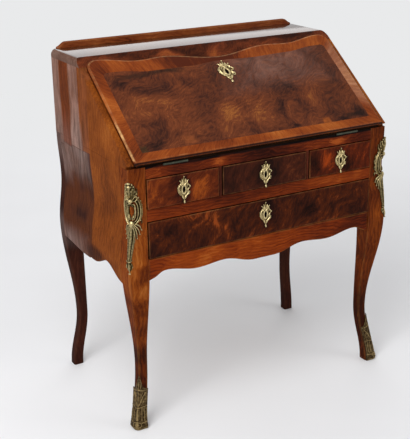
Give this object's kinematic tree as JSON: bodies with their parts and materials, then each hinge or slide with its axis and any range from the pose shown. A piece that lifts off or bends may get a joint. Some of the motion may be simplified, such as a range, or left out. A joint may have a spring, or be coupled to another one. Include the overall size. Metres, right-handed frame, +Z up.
{
  "type": "slant-front desk",
  "caption": "Slant-front writing desk on cabriole legs: lipped sloping fall over fitted drawers, shaped aprons, gilt-bronze corner, foot and keyhole mounts.",
  "frame": {"origin": "on the floor at the middle of the desk's box", "axes": "+X to the desk's right seen from its front, -Y out of the front, +Z up"},
  "size_m": [0.8174, 0.4814, 0.9718],
  "materials": {
    "walnut": "french polished veneer",
    "walnut_burr": "french polished figured veneer",
    "fruitwood": "waxed",
    "oak": "raw",
    "gilt_bronze": "worn gilding on cast bronze",
    "brass": "dull polish",
    "iron": "blackened",
    "leather": "worn"
  },
  "bodies": {
    "case": {"front_leg_left": "walnut", "front_leg_right": "walnut", "back_leg_left": "walnut", "back_leg_right": "walnut", "sabot_left": "gilt_bronze", "sabot_right": "gilt_bronze", "chute_left": "gilt_bronze", "chute_right": "gilt_bronze", "side_panel_left": "walnut", "side_panel_right": "walnut", "cheek_left": "walnut", "cheek_right": "walnut", "back_panel": "oak", "top_board": "walnut", "top_gallery": "walnut", "head_panel": "walnut", "writing_bed": "walnut", "top_rail": "fruitwood", "mid_rail": "fruitwood", "front_apron": "fruitwood", "dust_board": "oak", "drawer_divider_left": "fruitwood", "drawer_divider_right": "fruitwood", "lower_drawer_bearers": "oak", "nest_shelf": "fruitwood", "nest_upright_left": "fruitwood", "nest_upright_right": "fruitwood", "hinge_left_case_leaf": "brass", "hinge_right_case_leaf": "brass"},
    "fall": {"fall_board": "walnut_burr", "fall_leather": "leather", "fall_escutcheon": "gilt_bronze", "fall_lock_case": "iron", "hinge_left_fall_leaf": "brass", "hinge_right_fall_leaf": "brass"},
    "fall_bolt": {"fall_lock_bolt": "brass"},
    "upper_left_drawer": {"upper_left_drawer_front": "walnut_burr", "upper_left_drawer_box": "oak", "upper_left_drawer_escutcheon": "gilt_bronze", "upper_left_drawer_lock_case": "iron"},
    "upper_left_drawer_bolt": {"upper_left_drawer_lock_bolt": "brass"},
    "upper_centre_drawer": {"upper_centre_drawer_front": "walnut_burr", "upper_centre_drawer_box": "oak", "upper_centre_drawer_escutcheon": "gilt_bronze", "upper_centre_drawer_lock_case": "iron"},
    "upper_centre_drawer_bolt": {"upper_centre_drawer_lock_bolt": "brass"},
    "upper_right_drawer": {"upper_right_drawer_front": "walnut_burr", "upper_right_drawer_box": "oak", "upper_right_drawer_escutcheon": "gilt_bronze", "upper_right_drawer_lock_case": "iron"},
    "upper_right_drawer_bolt": {"upper_right_drawer_lock_bolt": "brass"},
    "lower_drawer": {"lower_drawer_front": "walnut_burr", "lower_drawer_box": "oak", "lower_drawer_escutcheon": "gilt_bronze", "lower_drawer_lock_case": "iron"},
    "lower_drawer_bolt": {"lower_drawer_lock_bolt": "brass"},
    "inner_drawer_left": {"inner_drawer_left": "fruitwood", "inner_knob_left": "brass"},
    "inner_drawer_right": {"inner_drawer_right": "fruitwood", "inner_knob_right": "brass"}
  },
  "joints": [
    {"name": "fall_hinge", "type": "hinge", "parent": "case", "child": "fall", "pos_m": [0, -0.22928, 0.725], "axis": [1, 0, 0], "range_deg": [0, 143.4]},
    {"name": "fall_bolt_slide", "type": "slide", "parent": "fall", "child": "fall_bolt", "axis": [0, 0.8028, 0.5962], "range_m": [0, 0.0098]},
    {"name": "upper_left_drawer_slide", "type": "slide", "parent": "case", "child": "upper_left_drawer", "axis": [0, -1, 0], "range_m": [0, 0.3]},
    {"name": "upper_left_drawer_bolt_slide", "type": "slide", "parent": "upper_left_drawer", "child": "upper_left_drawer_bolt", "axis": [0, 0, 1], "range_m": [0, 0.0098]},
    {"name": "upper_centre_drawer_slide", "type": "slide", "parent": "case", "child": "upper_centre_drawer", "axis": [0, -1, 0], "range_m": [0, 0.3]},
    {"name": "upper_centre_drawer_bolt_slide", "type": "slide", "parent": "upper_centre_drawer", "child": "upper_centre_drawer_bolt", "axis": [0, 0, 1], "range_m": [0, 0.0098]},
    {"name": "upper_right_drawer_slide", "type": "slide", "parent": "case", "child": "upper_right_drawer", "axis": [0, -1, 0], "range_m": [0, 0.3]},
    {"name": "upper_right_drawer_bolt_slide", "type": "slide", "parent": "upper_right_drawer", "child": "upper_right_drawer_bolt", "axis": [0, 0, 1], "range_m": [0, 0.0098]},
    {"name": "lower_drawer_slide", "type": "slide", "parent": "case", "child": "lower_drawer", "axis": [0, -1, 0], "range_m": [0, 0.3]},
    {"name": "lower_drawer_bolt_slide", "type": "slide", "parent": "lower_drawer", "child": "lower_drawer_bolt", "axis": [0, 0, 1], "range_m": [0, 0.0098]},
    {"name": "inner_drawer_left_slide", "type": "slide", "parent": "case", "child": "inner_drawer_left", "axis": [0, -1, 0], "range_m": [0, 0.12]},
    {"name": "inner_drawer_right_slide", "type": "slide", "parent": "case", "child": "inner_drawer_right", "axis": [0, -1, 0], "range_m": [0, 0.12]}
  ]
}
